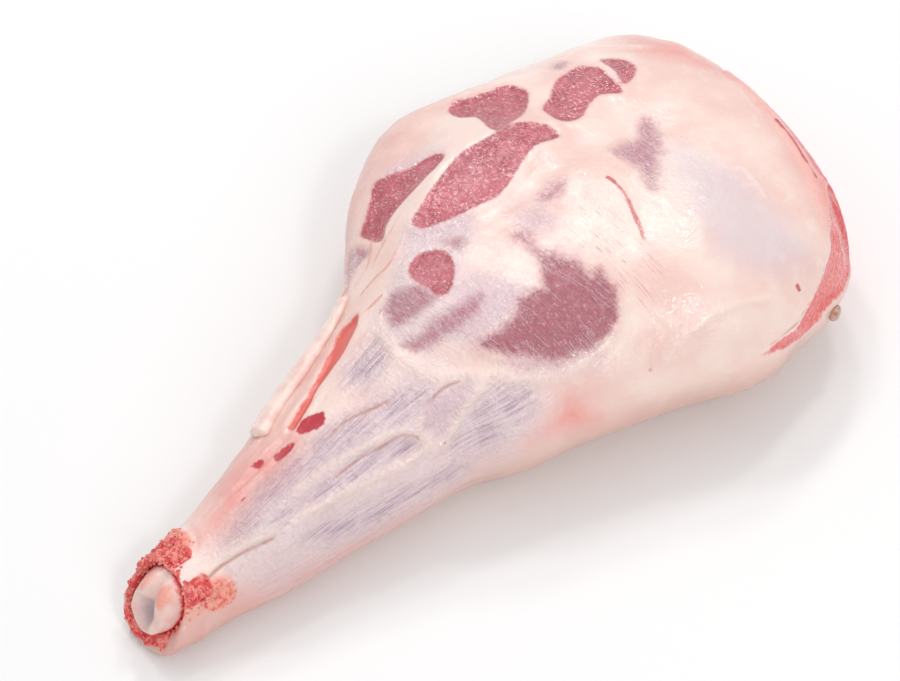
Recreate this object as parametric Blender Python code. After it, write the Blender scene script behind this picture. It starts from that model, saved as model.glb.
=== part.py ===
"""A raw leg of lamb, bone in, lying on its side: one solid of meat, and the shank bone that shows at the hock.

Run it with: blender --background --python part.py

The leg lies along X, hock at -X and rump at +X, and rests on Z = 0 with its seamed side up. The origin is
under the middle of its box. Lengths in the tables are millimetres. "Reach" is the distance from the hock's
tip along the leg, "side" the distance off the leg's straight line towards +Y, "height" the distance up from
the leg's lowest line, and "around" an angle in degrees about the leg: 0 on the crown, positive down the -Y
side, negative down the +Y side, 180 underneath.
"""

import math
from collections import namedtuple

import bmesh
import bpy
import numpy as np
from mathutils import Matrix, Vector

MM = 0.001

# Driving dimensions, in millimetres.
LEG_LENGTH = 385.0
MEAT_START = 9.0
HOCK_ROUNDING = 8.0
RUMP_ROUNDING = 60.0
RUMP_SQUARENESS = 3.0
RUMP_SLANT = 0.16
SLANT_START = 240.0
WIDEST_LINE = 0.46
CROWN_SQUARENESS = 2.15
UNDERSIDE_SQUARENESS = 2.4
REST_FLAT = 1.6
BONE_LENGTH = 165.0
BONE_CLEARANCE = 0.35
KNUCKLE_ROUNDING = 9.0
KNUCKLE_CROWN = 2.5
KNUCKLE_SQUARENESS = 4
BONE_ROW_SPREAD = 1.6
MOUTH_DEPTH = 3.0

# The hock's end leans back: a point moves up the leg by this share of its height over the lean's level, and
# less and less from LEAN_FULL to LEAN_ENDS.
HOCK_LEAN = 0.6
LEAN_LEVEL = 15.0
LEAN_FULL = 10.0
LEAN_ENDS = 75.0

# How finely the surfaces are divided.
ROWS_ALONG = 62
POINTS_AROUND = 58
CLOSER_ON_TOP = 20.0
CLOSER_AT_ENDS = 0.45
RIM_ROWS = 4
BONE_ROWS = 9
BONE_POINTS = 28
KNUCKLE_RINGS = 6

Section = namedtuple("Section", "reach side half_width crown belly")
SECTIONS = (
    Section(9, -9, 16.5, 38, 6),
    Section(25, -9, 19.5, 40, 4),
    Section(62, -11, 27, 48, 1),
    Section(99, -9, 35, 56, 0),
    Section(135, -8, 43, 67, -1),
    Section(155, -8, 47, 75, -2),
    Section(172, -7, 58, 81, -2),
    Section(200, 1.5, 77.5, 87, -2),
    Section(246, 6, 99, 92, -2),
    Section(279, -4, 103, 91, -2),
    Section(314, -7, 99, 87, -1),
    Section(385, -7, 86.5, 79, 2),
)

# A fold is a swell (height over 0) or a furrow (under 0) of a given half-width that follows a path of
# (reach, around) points over the skin.
Fold = namedtuple("Fold", "height half_width path")
FOLDS = (
    # The round of the knee muscle, and the smaller head beside it.
    Fold(4.5, 26, ((188, 52), (206, 42))),
    Fold(3.5, 20, ((168, -4), (186, -6))),
    # The long muscles of the upper thigh.
    Fold(3.5, 17, ((212, -34), (262, -33))),
    Fold(1.5, 18, ((200, -76), (226, -72))),
    Fold(3.0, 18, ((272, -66), (300, -60), (326, -44))),
    # The smooth dome of the rump.
    Fold(3.5, 44, ((296, 52), (326, 48))),
    # Furrows between those muscles.
    Fold(-3.0, 9, ((178, -56), (208, -51), (236, -58), (262, -60))),
    Fold(-2.5, 9, ((196, -24), (216, -8), (246, -6), (280, -20))),
    Fold(-2.5, 12, ((308, -8), (288, 24), (266, 38), (242, 52))),
    # The crease where the round meets the shank.
    Fold(-3.0, 8, ((164, -26), (156, -12), (158, 4), (164, 24), (174, 46), (190, 64), (206, 68))),
    # The heel cord, ending in its cut, and the groove beside it.
    Fold(2.0, 7, ((170, -78), (148, -72), (124, -66), (103, -62))),
    Fold(-2.0, 7, ((158, -46), (136, -42), (104, -22), (76, -16))),
    # The fat pad under the hock.
    Fold(2.0, 10, ((16, 140), (24, 128))),
    # The shin's long tendon.
    Fold(1.5, 6, ((34, 52), (84, 46), (130, 38), (156, 36))),
    # The edge of the fat beside the bare muscle at the rump.
    Fold(-3.0, 7, ((362, 74), (334, 84), (304, 94))),
)
FOLD_STEPS = 12

# The shank bone's girth along the leg. The knuckle is turned about the leg by KNUCKLE_TURN degrees.
Girth = namedtuple("Girth", "reach side height half_wide half_tall")
GIRTHS = (
    Girth(0, -9, 24, 12.6, 13.8),
    Girth(12, -9, 24, 13.2, 14.4),
    Girth(28, -9, 25, 9.5, 10.0),
    Girth(60, -9, 27, 7.5, 8.0),
    Girth(120, -8, 32, 8.5, 9.0),
    Girth(165, -7, 36, 11.0, 11.0),
)
KNUCKLE_TURN = 20.0

# Swells and hollows of the knuckle's end, in shares of its half-width and half-height.
Dimple = namedtuple("Dimple", "height wide tall spread_wide spread_tall")
KNUCKLE_DIMPLES = (
    Dimple(2.5, -0.55, 0.42, 0.34, 0.36),
    Dimple(2.5, 0.50, 0.42, 0.40, 0.40),
    Dimple(-2.0, -0.06, 0.62, 0.16, 0.40),
    Dimple(-4.0, -0.10, -0.25, 0.45, 0.50),
)

Finish = namedtuple("Finish", "colour roughness")
MEAT_FINISH = Finish((0.83, 0.60, 0.55), 0.35)
BONE_FINISH = Finish((0.66, 0.48, 0.45), 0.40)


def eased(stops, values, where):
    """A smooth curve through values at stops, flat beyond both ends, read at where."""
    stops = np.asarray(stops, float)
    values = np.asarray(values, float)
    slopes = np.gradient(values, stops)
    place = np.clip(where, stops[0], stops[-1])
    left = np.clip(np.searchsorted(stops, place, side="right") - 1, 0, len(stops) - 2)
    gap = stops[left + 1] - stops[left]
    t = (place - stops[left]) / gap
    rise = 3 * t**2 - 2 * t**3
    lean = gap * (t**3 - 2 * t**2 + t) * slopes[left]
    settle = gap * (t**3 - t**2) * slopes[left + 1]
    return values[left] * (1 - rise) + values[left + 1] * rise + lean + settle


def read_table(table, reach):
    """The table's row at each reach, as one row of arrays."""
    stops = [row.reach for row in table]
    kind = type(table[0])
    return kind(*(eased(stops, [getattr(row, name) for row in table], reach) for name in kind._fields))


def rump_share(reach):
    """How much of its full section the leg keeps at a reach, as the rump rounds off."""
    rump = np.clip((reach - (LEG_LENGTH - RUMP_ROUNDING)) / RUMP_ROUNDING, 0, 1)
    return (1 - rump**RUMP_SQUARENESS) ** (1 / RUMP_SQUARENESS)


def plain_skin(reach, around):
    """Points on the leg's skin before its folds, at arrays of reach and around."""
    s = read_table(SECTIONS, reach)
    turn = np.radians(around)
    middle = s.belly + WIDEST_LINE * (s.crown - s.belly)
    up = np.cos(turn) >= 0
    tall = np.where(up, s.crown - middle, middle - s.belly)
    square = np.where(up, CROWN_SQUARENESS, UNDERSIDE_SQUARENESS)
    share = (np.abs(np.sin(turn)) / s.half_width) ** square + (np.abs(np.cos(turn)) / tall) ** square
    radius = share ** (-1 / square) * rump_share(reach)
    side = s.side - radius * np.sin(turn)
    slant = RUMP_SLANT * side * np.clip((reach - SLANT_START) / (LEG_LENGTH - SLANT_START), 0, 1)
    return np.stack([reach + slant, side, middle + radius * np.cos(turn)], axis=-1)


def fold_path(fold):
    """Points close together along a fold's path over the plain skin."""
    reach, around = np.array(fold.path, float).T
    stops = np.arange(len(reach))
    where = np.linspace(0, stops[-1], FOLD_STEPS * (len(reach) - 1) + 1)
    return plain_skin(eased(stops, reach, where), eased(stops, around, where))


def folded(rows):
    """The rows of skin points, rump first, moved along their normals by every fold that passes near."""
    along = np.gradient(rows, axis=0)
    wrapped = np.concatenate([rows[:, -1:], rows, rows[:, :1]], axis=1)
    across = (wrapped[:, 2:] - wrapped[:, :-2]) / 2
    outward = np.cross(along, across)
    outward /= np.linalg.norm(outward, axis=-1, keepdims=True)
    lift = np.zeros(rows.shape[:2])
    for fold in FOLDS:
        gap = np.linalg.norm(rows[:, :, None, :] - fold_path(fold), axis=-1).min(axis=-1)
        lift += fold.height * np.exp(-((gap / fold.half_width) ** 2))
    return rows + outward * lift[..., None]


def bone_side(reach, around, grown=0.0):
    """Points on the shank bone's side, or on a surface that far outside it."""
    g = read_table(GIRTHS, reach)
    turn = np.radians(around)
    radius = 1 / np.sqrt((np.sin(turn) / g.half_wide) ** 2 + (np.cos(turn) / g.half_tall) ** 2) + grown
    lean = turn + math.radians(KNUCKLE_TURN)
    return np.stack([reach, g.side - radius * np.sin(lean), g.height + radius * np.cos(lean)], axis=-1)


def knuckle_end(share, around):
    """Points on the knuckle's end: share is 1 round its edge and 0 in its middle."""
    wide = share * np.sin(np.radians(around))
    tall = share * np.cos(np.radians(around))
    swell = np.zeros(np.shape(share))
    for d in KNUCKLE_DIMPLES:
        spread = ((wide - d.wide) / d.spread_wide) ** 2 + ((tall - d.tall) / d.spread_tall) ** 2
        swell += d.height * np.exp(-spread)
    edge = np.clip(share, 0, 1) ** KNUCKLE_SQUARENESS
    rounding = 1 - np.sqrt(1 - edge)
    points = bone_side(np.zeros(np.shape(share)), around)
    middle = np.array([0, GIRTHS[0].side, GIRTHS[0].height], float)
    points = middle + (points - middle) * share[..., None]
    points[..., 0] = KNUCKLE_ROUNDING * rounding + KNUCKLE_CROWN - swell * (1 - edge)
    return points


def turn_about(count):
    """That many angles about the leg, closer together on top."""
    turn = np.linspace(0, 2 * np.pi, count, endpoint=False)
    return np.degrees(turn) - CLOSER_ON_TOP * np.sin(turn)


def lean_back(points):
    """The points with the hock's end leant back, so that it faces partly upwards."""
    fade = np.clip((points[..., 0] - LEAN_FULL) / (LEAN_ENDS - LEAN_FULL), 0, 1)
    share = 1 - fade**2 * (3 - 2 * fade)
    leant = np.array(points, float)
    leant[..., 0] += HOCK_LEAN * (points[..., 2] - LEAN_LEVEL) * share
    return leant


def body_from_rows(name, rows, first_tip, last_tip, finish):
    """An object with a closed mesh: rows of points joined round, and a tip point closing each end."""
    bm = bmesh.new()
    rings = [[bm.verts.new(Vector(point) * MM) for point in row] for row in lean_back(rows)]
    count = len(rings[0])
    for a, b in zip(rings, rings[1:]):
        for i in range(count):
            j = (i + 1) % count
            bm.faces.new((a[i], a[j], b[j], b[i]))
    for ring, point in ((rings[0], first_tip), (rings[-1], last_tip)):
        tip = bm.verts.new(Vector(lean_back(np.array(point, float))) * MM)
        for i in range(count):
            bm.faces.new((ring[i], ring[(i + 1) % count], tip))
    bmesh.ops.recalc_face_normals(bm, faces=bm.faces)
    mesh = bpy.data.meshes.new(name)
    bm.to_mesh(mesh)
    bm.free()
    mesh.shade_smooth()
    mesh.materials.append(material(name, finish))
    obj = bpy.data.objects.new(name, mesh)
    bpy.context.scene.collection.objects.link(obj)
    return obj


def material(name, finish):
    made = bpy.data.materials.new(name)
    made.use_nodes = True
    shader = made.node_tree.nodes["Principled BSDF"]
    shader.inputs["Base Color"].default_value = (*finish.colour, 1)
    shader.inputs["Roughness"].default_value = finish.roughness
    shader.inputs["Metallic"].default_value = 0.0
    return made


def skin_rows():
    """The leg's outer skin, from the rump to just short of the hock's rim."""
    t = np.linspace(0, 1, ROWS_ALONG)
    spread = CLOSER_AT_ENDS * (1 - np.cos(np.pi * t)) / 2 + (1 - CLOSER_AT_ENDS) * t
    start = MEAT_START + HOCK_ROUNDING
    reach = LEG_LENGTH + (start - LEG_LENGTH) * spread
    reach_grid, around_grid = np.meshgrid(reach[1:], turn_about(POINTS_AROUND), indexing="ij")
    rows = folded(plain_skin(reach_grid, around_grid))
    rows[..., 2] = np.maximum(rows[..., 2], REST_FLAT)
    return rows


def rim_rows(outer, inner):
    """Rows that carry the hock's rim round from the outer skin to the mouth of the bone's socket."""
    rows = []
    for step in range(1, RIM_ROWS + 1):
        turn = math.pi / 2 * step / RIM_ROWS
        row = outer + (inner - outer) * (1 - math.cos(turn))
        row[:, 0] = MEAT_START + HOCK_ROUNDING * (1 - math.sin(turn))
        rows.append(row)
    return np.array(rows)


def bone_stops():
    """Reaches of the bone's rows, closer together at the knuckle."""
    t = np.linspace(0, 1, BONE_ROWS)
    first = KNUCKLE_ROUNDING + MOUTH_DEPTH
    return first + (BONE_LENGTH - first) * t**BONE_ROW_SPREAD


def build_meat():
    around = turn_about(POINTS_AROUND)
    skin = skin_rows()
    reach_grid, around_grid = np.meshgrid(bone_stops(), around, indexing="ij")
    socket = bone_side(reach_grid, around_grid - KNUCKLE_TURN, BONE_CLEARANCE)
    rim = rim_rows(skin[-1], socket[0])
    rows = np.concatenate([skin, rim, socket])
    rump = plain_skin(np.array(LEG_LENGTH), np.array(0.0))
    last = GIRTHS[-1]
    blind_end = (BONE_LENGTH + BONE_CLEARANCE, last.side, last.height)
    return body_from_rows("leg_meat", rows, rump, blind_end, MEAT_FINISH)


def build_bone():
    around = turn_about(BONE_POINTS)
    shares = np.linspace(0, 1, KNUCKLE_RINGS + 1)[1:]
    share_grid, around_grid = np.meshgrid(shares, around, indexing="ij")
    end = knuckle_end(share_grid, around_grid)
    reach_grid, around_grid = np.meshgrid(bone_stops(), around, indexing="ij")
    side = bone_side(reach_grid, around_grid)
    rows = np.concatenate([end, side])
    tip = knuckle_end(np.array(0.0), np.array(0.0))
    last = GIRTHS[-1]
    return body_from_rows("shank_bone", rows, tip, (BONE_LENGTH, last.side, last.height), BONE_FINISH)


def stand_on_origin(objects):
    """Move the meshes so that the origin is under the middle of their common box."""
    corners = np.array([vertex.co for obj in objects for vertex in obj.data.vertices])
    low = corners.min(axis=0)
    high = corners.max(axis=0)
    shift = Vector((-(low[0] + high[0]) / 2, -(low[1] + high[1]) / 2, -low[2]))
    for obj in objects:
        obj.data.transform(Matrix.Translation(shift))


def main():
    for obj in list(bpy.data.objects):
        bpy.data.objects.remove(obj)
    stand_on_origin([build_meat(), build_bone()])


main()
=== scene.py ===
"""The looks of a raw leg of lamb, bone in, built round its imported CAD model.

Lengths in the tables are millimetres. "Reach" is the distance from the hock's tip along the leg, and "around"
an angle in degrees about it: 0 on the crown, positive down the -Y side, negative down the +Y side.
"""

import math
from collections import namedtuple
from itertools import product
from types import SimpleNamespace

import bmesh
import bpy
import numpy as np
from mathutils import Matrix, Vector
from mathutils.bvhtree import BVHTree


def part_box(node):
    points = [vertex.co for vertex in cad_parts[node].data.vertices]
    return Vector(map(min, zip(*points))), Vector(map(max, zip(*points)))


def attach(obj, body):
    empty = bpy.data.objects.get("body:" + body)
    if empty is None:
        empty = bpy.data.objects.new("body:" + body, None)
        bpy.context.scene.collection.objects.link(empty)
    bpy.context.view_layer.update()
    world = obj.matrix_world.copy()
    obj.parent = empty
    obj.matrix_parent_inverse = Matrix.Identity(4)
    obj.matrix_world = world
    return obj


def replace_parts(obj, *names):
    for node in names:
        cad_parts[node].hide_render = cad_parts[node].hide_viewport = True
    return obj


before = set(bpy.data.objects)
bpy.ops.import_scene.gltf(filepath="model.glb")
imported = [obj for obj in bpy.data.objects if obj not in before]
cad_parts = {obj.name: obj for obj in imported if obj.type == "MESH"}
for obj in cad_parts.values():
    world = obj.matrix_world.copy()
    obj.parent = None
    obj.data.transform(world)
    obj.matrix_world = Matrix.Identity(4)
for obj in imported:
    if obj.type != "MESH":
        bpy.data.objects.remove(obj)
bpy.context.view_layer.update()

MM = 0.001
MEAT_LOW = np.array(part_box("leg_meat")[0])

# The leg's own measure: where reach 0 lies on X, and how its rump end and its hock's end lean.
MEAT_START = 9.0
LOWEST_X_REACH = 5.1
HOCK_X = MEAT_LOW[0] / MM - LOWEST_X_REACH
LEG_LENGTH = 385.0
SLANT = 0.16
SLANT_START = 240.0
HOCK_LEAN = 0.6
LEAN_HEIGHT = 13.4
LEAN_FULL = 10.0
LEAN_ENDS = 75.0
RIM_END = 19.0
CAP_START = 330.0
SOCKET_END = 150.0

# The leg's core line: reach, Y and Z.
CORE = (
    (9, -7.5, 19.1), (25, -7.5, 19.0), (62, -9.5, 21.0), (99, -7.5, 24.2), (135, -6.5, 28.7),
    (155, -6.5, 31.8), (172, -5.5, 34.6), (200, 3.0, 37.3), (246, 7.5, 39.6), (279, -2.5, 39.2),
    (314, -5.5, 37.9), (385, -5.5, 35.8),
)
BONE_CORE = ((0, -7.5, 22.4), (60, -7.5, 25.4), (120, -6.5, 30.4), (165, -5.5, 34.4))

# How finely the skin is divided.
ROWS_ALONG = 246
ROWS_CAP = 66
ROWS_RIM = 14
ROWS_SOCKET = 10
COLUMNS = 288
TOP_CLOSER = 0.35
FAR_AWAY = 0.4

MEASURE_ROUNDS = 12

SEED = 7


# ---------------------------------------------------------------- the skin's own measure


def eased(stops, values, where):
    """A smooth curve through values at stops, flat beyond both ends, read at where."""
    stops = np.asarray(stops, float)
    values = np.asarray(values, float)
    slopes = np.gradient(values, stops)
    place = np.clip(where, stops[0], stops[-1])
    left = np.clip(np.searchsorted(stops, place, side="right") - 1, 0, len(stops) - 2)
    gap = stops[left + 1] - stops[left]
    t = (place - stops[left]) / gap
    rise = 3 * t**2 - 2 * t**3
    lean = gap * (t**3 - 2 * t**2 + t) * slopes[left]
    settle = gap * (t**3 - t**2) * slopes[left + 1]
    return values[left] * (1 - rise) + values[left + 1] * rise + lean + settle


def step(low, high, value):
    """0 below low, 1 above high and a smooth rise between."""
    t = np.clip((value - low) / (high - low), 0, 1)
    return t * t * (3 - 2 * t)


def lean_at(reach):
    return SLANT * np.clip((reach - SLANT_START) / (LEG_LENGTH - SLANT_START), 0, 1)


def lean_back_at(reach):
    """How far up the leg the hock's end leans for each millimetre of height."""
    return HOCK_LEAN * (1 - step(LEAN_FULL, LEAN_ENDS, reach))


def core_at(reach, line=CORE):
    """Points on the core line, in millimetres, at an array of reaches."""
    stops, side, height = zip(*line)
    y = eased(stops, side, reach)
    z = eased(stops, height, reach)
    x = HOCK_X + reach + lean_at(reach) * y + lean_back_at(reach) * (z - LEAN_HEIGHT)
    return np.stack([x, y, z], axis=-1)


def outward_at(reach, around):
    """Unit directions straight out from the core line."""
    turn = np.radians(around) + 0 * reach
    ahead = lean_back_at(reach) * np.cos(turn) - lean_at(reach) * np.sin(turn)
    way = np.stack([ahead, -np.sin(turn), np.cos(turn)], axis=-1)
    return way / np.linalg.norm(way, axis=-1, keepdims=True)


def measure_of(points):
    """The reach and around of points in millimetres."""
    reach = points[..., 0] - HOCK_X
    for _ in range(MEASURE_ROUNDS):
        shift = lean_at(reach) * points[..., 1] + lean_back_at(reach) * (points[..., 2] - LEAN_HEIGHT)
        reach = points[..., 0] - HOCK_X - shift
    middle = core_at(reach)
    return reach, np.degrees(np.arctan2(middle[..., 1] - points[..., 1], points[..., 2] - middle[..., 2]))


# ---------------------------------------------------------------- working copies of the CAD nodes


def linked(name, data):
    """A new object that holds a mesh, a light or a camera, in the scene."""
    made = bpy.data.objects.new(name, data)
    bpy.context.scene.collection.objects.link(made)
    return made


def smooth_copy(node, levels):
    """A merged and subdivided copy of a CAD node, as a mesh."""
    bm = bmesh.new()
    bm.from_mesh(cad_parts[node].data)
    bmesh.ops.remove_doubles(bm, verts=bm.verts, dist=0.01 * MM)
    bmesh.ops.join_triangles(bm, faces=bm.faces, angle_face_threshold=0.7, angle_shape_threshold=1.2)
    bmesh.ops.recalc_face_normals(bm, faces=bm.faces)
    mesh = bpy.data.meshes.new(node + "_copy")
    bm.to_mesh(mesh)
    bm.free()
    made = linked(node + "_copy", mesh)
    subdivide = made.modifiers.new("subdivide", "SUBSURF")
    subdivide.levels = levels
    subdivide.render_levels = levels
    smoothed = bpy.data.meshes.new_from_object(made.evaluated_get(bpy.context.evaluated_depsgraph_get()))
    bpy.data.objects.remove(made)
    return smoothed


def tree_of(mesh):
    return BVHTree.FromPolygons([v.co for v in mesh.vertices], [p.vertices for p in mesh.polygons])


meat_tree = tree_of(smooth_copy("leg_meat", 2))


def cast(origins, ways, inward=True):
    """Where rays along ways meet the smoothed meat, in millimetres. Inward rays start far outside."""
    found = np.empty(origins.shape)
    flat_out = found.reshape(-1, 3)
    for i, (origin, way) in enumerate(zip(origins.reshape(-1, 3) * MM, ways.reshape(-1, 3))):
        start = origin + way * FAR_AWAY if inward else origin
        hit = meat_tree.ray_cast(Vector(start), Vector(-way if inward else way))[0]
        flat_out[i] = start if hit is None else hit
    return found / MM


def skin_at(reach, around):
    """Points on the smoothed skin at arrays of reach and around."""
    reach, around = np.broadcast_arrays(np.asarray(reach, float), np.asarray(around, float))
    return cast(core_at(reach), outward_at(reach, around))


# ---------------------------------------------------------------- the fine skin


def spread_columns(points, around):
    """The around of evenly spaced columns in each row, a little closer together on top."""
    loop = np.concatenate([points, points[:, :1]], axis=1)
    turn = np.append(around, around[0] + 360)
    weight = 1 + TOP_CLOSER * np.cos(np.radians((turn[1:] + turn[:-1]) / 2))
    length = np.linalg.norm(np.diff(loop, axis=1), axis=-1) * weight
    length = np.maximum(length, 1e-3 * length.mean(axis=1, keepdims=True))
    total = np.concatenate([np.zeros((len(points), 1)), np.cumsum(length, axis=1)], axis=1)
    wanted = np.linspace(0, 1, COLUMNS, endpoint=False)
    return np.array([np.interp(wanted * row[-1], row, turn) for row in total])


def skin_rays(first, around):
    """Origins and ways of rays for rows of the skin: out from the leg, then fanned over the rump."""
    along = np.minimum(first, CAP_START)
    fan = np.radians(90) * np.clip(first - CAP_START, 0, 1)
    reach, turn = along[:, None] + 0 * around, around
    out = outward_at(reach, turn)
    ahead = np.array([1.0, 0.0, 0.0])
    ways = np.cos(fan)[:, None, None] * out + np.sin(fan)[:, None, None] * ahead
    return core_at(reach), ways / np.linalg.norm(ways, axis=-1, keepdims=True)


def outer_rows():
    """The skin from the hock's rim to the middle of the rump, as rows of points."""
    along = np.linspace(RIM_END, CAP_START, ROWS_ALONG)
    cap = CAP_START + np.linspace(0, 1, ROWS_CAP + 1)[1:-1] ** 0.9
    first = np.concatenate([along, cap])
    coarse = np.linspace(-180, 180, 144, endpoint=False)
    rough = cast(*skin_rays(first, np.broadcast_to(coarse, (len(first), len(coarse)))))
    around = spread_columns(rough, coarse)
    width = 9
    padded = np.concatenate([around[:1].repeat(width, 0), around, around[-1:].repeat(width, 0)])
    around = np.array([padded[i : i + 2 * width + 1].mean(axis=0) for i in range(len(first))])
    return cast(*skin_rays(first, around))


RIM_PARTS = np.linspace(0, 1, ROWS_RIM + 2)[1:-1]


def rim_and_socket(last_row):
    """Rows round the hock's rim and some way up the bone's socket, from the first row of the skin."""
    reach = MEAT_START + np.linspace(3.0, SOCKET_END, ROWS_SOCKET)
    middle = core_at(reach, BONE_CORE)[:, None] + 0 * last_row
    turn = np.arctan2(BONE_CORE[0][1] - last_row[:, 1], last_row[:, 2] - BONE_CORE[0][2])
    out = outward_at(reach[:, None], np.degrees(turn))
    socket = cast(middle, out, inward=False)
    leans = lean_back_at(np.array([RIM_END, reach[0]]))
    first_x = last_row[:, 0] - leans[0] * (last_row[:, 2] - LEAN_HEIGHT)
    mouth_x = socket[0, :, 0] - leans[1] * (socket[0, :, 2] - LEAN_HEIGHT)
    rim = []
    for part in RIM_PARTS:
        swing = math.pi * part
        row = last_row + (socket[0] - last_row) * (1 - math.cos(swing)) / 2
        ends = first_x + (mouth_x - first_x) * part
        lean = leans[0] + (leans[1] - leans[0]) * part
        plain = ends + (HOCK_X + MEAT_START - ends) * math.sin(swing)
        row[:, 0] = plain + lean * (row[:, 2] - LEAN_HEIGHT)
        torn = 1.1 * lattice_noise(row, 5, SEED + 13) + 0.9 * np.abs(lattice_noise(row, 2.4, SEED + 14))
        row += out_of_rim(out[0]) * (torn * math.sin(swing))[:, None]
        rim.append(row)
    return np.concatenate([np.array(rim), socket])


def out_of_rim(out):
    """Directions out of the hock's rim: part way between outward and along the leg."""
    return 0.6 * out - np.array([0.7, 0, -0.4])


def wrapped(rows, count=1):
    return np.concatenate([rows[:, -count:], rows, rows[:, :count]], axis=1)


def relaxed(rows, passes):
    """Rows of points or numbers, averaged with their neighbours."""
    for _ in range(passes):
        ring = wrapped(rows)
        rows = rows * 0.5 + (ring[:, 2:] + ring[:, :-2]) * 0.25
        rows[1:-1] = rows[1:-1] * 0.5 + (rows[2:] + rows[:-2]) * 0.25
    return rows


def normals_of(rows):
    """Outward normals of rows of points that run from the hock to the rump."""
    ring = wrapped(rows)
    across = ring[:, 2:] - ring[:, :-2]
    along = np.gradient(rows, axis=0)
    normal = np.cross(across, along)
    length = np.linalg.norm(normal, axis=-1, keepdims=True)
    return normal / np.maximum(length, 1e-9)


outer = relaxed(outer_rows(), 3)
outer_normal = normals_of(outer)
one_row = ROWS_ALONG // 2
if (outer_normal[one_row] * (outer[one_row] - outer[one_row].mean(axis=0))).sum() < 0:
    outer_normal = -outer_normal
SKIN = outer.reshape(-1, 3)
SKIN_NORMAL = outer_normal.reshape(-1, 3)
SKIN_REACH, SKIN_AROUND = measure_of(SKIN)


# ---------------------------------------------------------------- drawing on the skin

WIDEST_PATCH = 12.0

Patch = namedtuple("Patch", "kind depth firmness outline")
Line = namedtuple("Line", "kind height half_width path")


def curve_over_skin(path, closed, steps):
    """A smooth curve over the skin through (reach, around) points. A closed one may run round the leg."""
    knots = np.array(path, float)
    count = len(knots)
    if closed:
        lap = (0, 360 * round((knots[-1, 1] - knots[0, 1]) / 360))
        ring = np.concatenate([knots[-1:] - lap, knots, knots[:2] + lap])
    else:
        ring = np.concatenate([2 * knots[:1] - knots[1:2], knots, 2 * knots[-1:] - knots[-2:-1]])
    spans = count if closed else count - 1
    t = np.linspace(0, 1, steps, endpoint=False)[:, None]
    pieces = []
    for i in range(spans):
        a, b, c, d = ring[i : i + 4]
        bend = 2 * a - 5 * b + 4 * c - d
        turn = 3 * b - a - 3 * c + d
        pieces.append(b + 0.5 * ((c - a) * t + bend * t**2 + turn * t**3))
    if not closed:
        pieces.append(knots[-1:])
    line = np.concatenate(pieces)
    return skin_at(line[:, 0], line[:, 1])


def patch_distance(outline):
    """How far each skin point is from the outline, in millimetres: under 0 inside it."""
    distance = np.full(len(SKIN), WIDEST_PATCH)
    middle = outline.mean(axis=0)
    axes = np.linalg.svd(outline - middle)[2]
    nearest = np.argmin(np.linalg.norm(SKIN - middle, axis=1))
    facing = axes[2] if axes[2] @ SKIN_NORMAL[nearest] > 0 else -axes[2]
    size = np.linalg.norm(outline - middle, axis=1).max() + WIDEST_PATCH
    near = (np.linalg.norm(SKIN - middle, axis=1) < size) & (SKIN_NORMAL @ facing > 0.1)
    near = np.nonzero(near)[0]
    points = (SKIN[near] - middle) @ axes[:2].T
    a = (outline - middle) @ axes[:2].T
    b = np.roll(a, -1, axis=0)
    side = b - a
    gap = points[:, None] - a
    share = np.clip((gap * side).sum(-1) / np.maximum((side * side).sum(-1), 1e-9), 0, 1)
    away = np.linalg.norm(gap - share[..., None] * side, axis=-1).min(axis=1)
    above = points[:, None, 1] > a[:, 1]
    crosses = above != (points[:, None, 1] > b[:, 1])
    at = a[:, 0] + gap[..., 1] / np.where(side[:, 1] == 0, 1e-9, side[:, 1]) * side[:, 0]
    inside = (crosses & (points[:, None, 0] < at)).sum(axis=1) % 2 == 1
    distance[near] = np.minimum(np.where(inside, -away, away), WIDEST_PATCH)
    return distance


def line_distance(line, widest):
    """How far each skin point is from a line over the skin, and how far along the line it lies, 0 to 1."""
    distance = np.full(len(SKIN), 1e3)
    share = np.zeros(len(SKIN))
    low = line.min(axis=0) - widest
    high = line.max(axis=0) + widest
    near = np.nonzero(((SKIN > low) & (SKIN < high)).all(axis=1))[0]
    for chunk in np.array_split(near, len(near) // 4000 + 1):
        gap = np.linalg.norm(SKIN[chunk, None] - line, axis=-1)
        closest = gap.argmin(axis=1)
        distance[chunk] = gap.min(axis=1)
        share[chunk] = closest / (len(line) - 1)
    return distance, share


def lattice_noise(points, size, seed):
    """Smooth noise from -1 to 1 that changes over the given size."""
    table = np.random.default_rng(seed).uniform(-1, 1, 4096)
    place = points / size
    cell = np.floor(place).astype(np.int64)
    t = place - cell
    t = t * t * (3 - 2 * t)
    total = np.zeros(len(points))
    for corner in product((0, 1), repeat=3):
        key = cell + np.array(corner)
        value = table[(key[:, 0] * 73856093 ^ key[:, 1] * 19349663 ^ key[:, 2] * 83492791) & 4095]
        total += value * np.where(np.array(corner), t, 1 - t).prod(axis=1)
    return total


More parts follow.
